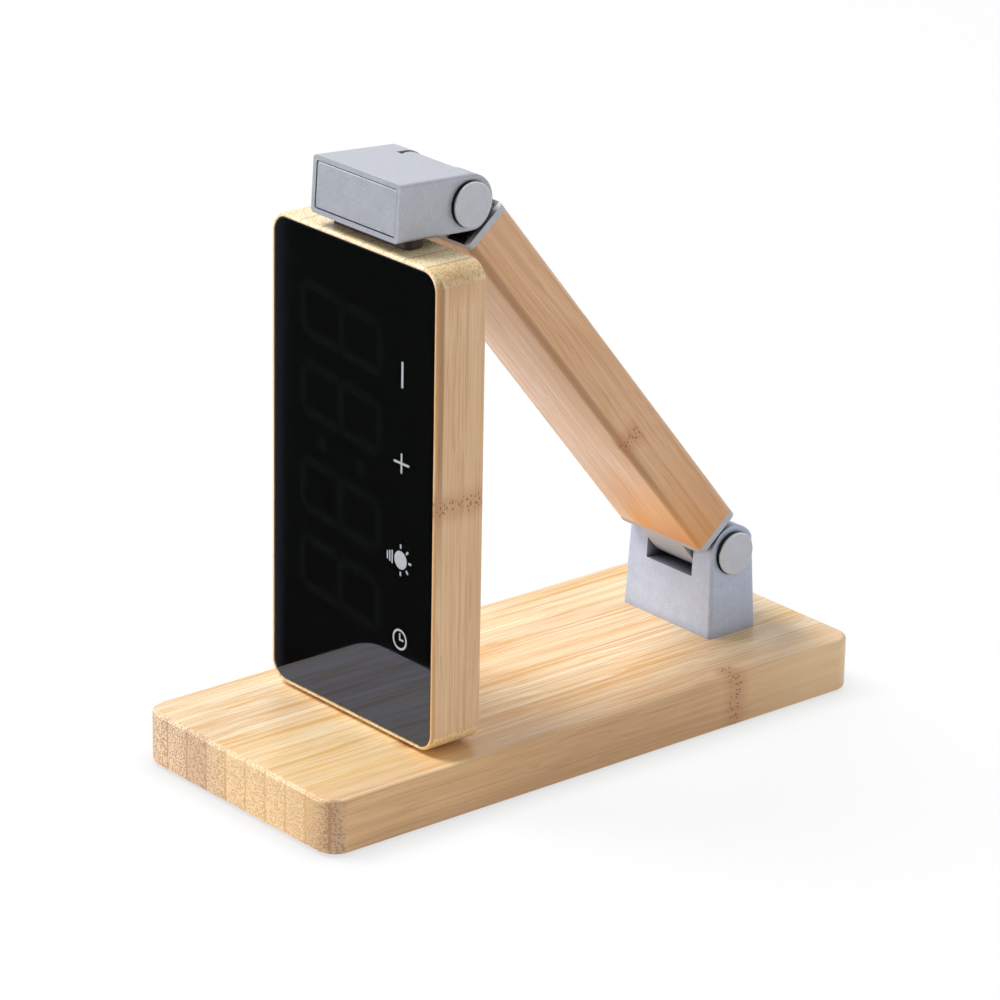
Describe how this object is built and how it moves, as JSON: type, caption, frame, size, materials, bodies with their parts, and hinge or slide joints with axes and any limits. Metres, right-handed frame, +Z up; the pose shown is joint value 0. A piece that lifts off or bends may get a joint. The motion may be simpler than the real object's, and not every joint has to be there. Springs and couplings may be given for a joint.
{
  "type": "folding desk clock",
  "caption": "Bamboo desk clock with a back lamp: a tall clock head hangs from a slanted arm between two metal clevis hinges on a long foot board.",
  "frame": {"origin": "under the middle of the foot board, on the plane that its rubber feet rest on", "axes": "+Z up, the clock panel faces -Y, +X is to the right of someone who faces the panel"},
  "size_m": [0.08, 0.183, 0.1659],
  "materials": {
    "bamboo": "satin",
    "silicone": "matte",
    "cast_metal": "satin",
    "cap_metal": "satin",
    "black_washer": "matte",
    "nylon": "matte",
    "steel": "satin",
    "fibre": "matte",
    "panel_acrylic": "gloss",
    "black_abs": "matte",
    "diode": "gloss",
    "circuit_board": "satin",
    "white_board": "satin",
    "spring_brass": "satin",
    "battery_foil": "satin",
    "opal_acrylic": "satin"
  },
  "bodies": {
    "base": {"base_board": "bamboo", "base_feet": "silicone", "base_bracket": "cast_metal", "base_bracket_screws": "steel", "lower_hinge_pin": "steel", "lower_pin_caps": "cap_metal", "lower_cap_washers": "black_washer", "lower_friction_washers": "nylon"},
    "arm": {"arm_bar": "bamboo", "lower_arm_fitting": "cast_metal", "upper_arm_fitting": "cast_metal"},
    "head": {"upper_hinge_pin": "steel", "upper_pin_caps": "cap_metal", "upper_cap_washers": "black_washer", "upper_friction_washers": "nylon", "head_bracket": "cast_metal", "bracket_cover": "cap_metal", "head_neck": "fibre", "neck_screws": "steel", "head_case": "bamboo", "front_panel": "panel_acrylic", "digit_reflector": "black_abs", "digit_diodes": "diode", "display_board": "circuit_board", "board_screws": "steel", "touch_springs": "spring_brass", "buzzer": "black_abs", "battery_cell": "battery_foil", "chassis": "black_abs", "chassis_screws": "steel", "usb_socket": "steel", "lamp_board": "white_board", "lamp_diodes": "diode", "lamp_diffuser": "opal_acrylic"}
  },
  "joints": [
    {"name": "arm_hinge", "type": "hinge", "parent": "base", "child": "arm", "pos_m": [0, 0.066, 0.0393], "axis": [-1, 0, 0], "range_deg": [0, 74]},
    {"name": "head_hinge", "type": "hinge", "parent": "arm", "child": "head", "pos_m": [0, -0.02966, 0.15691], "axis": [-1, 0, 0], "range_deg": [0, 82]}
  ]
}
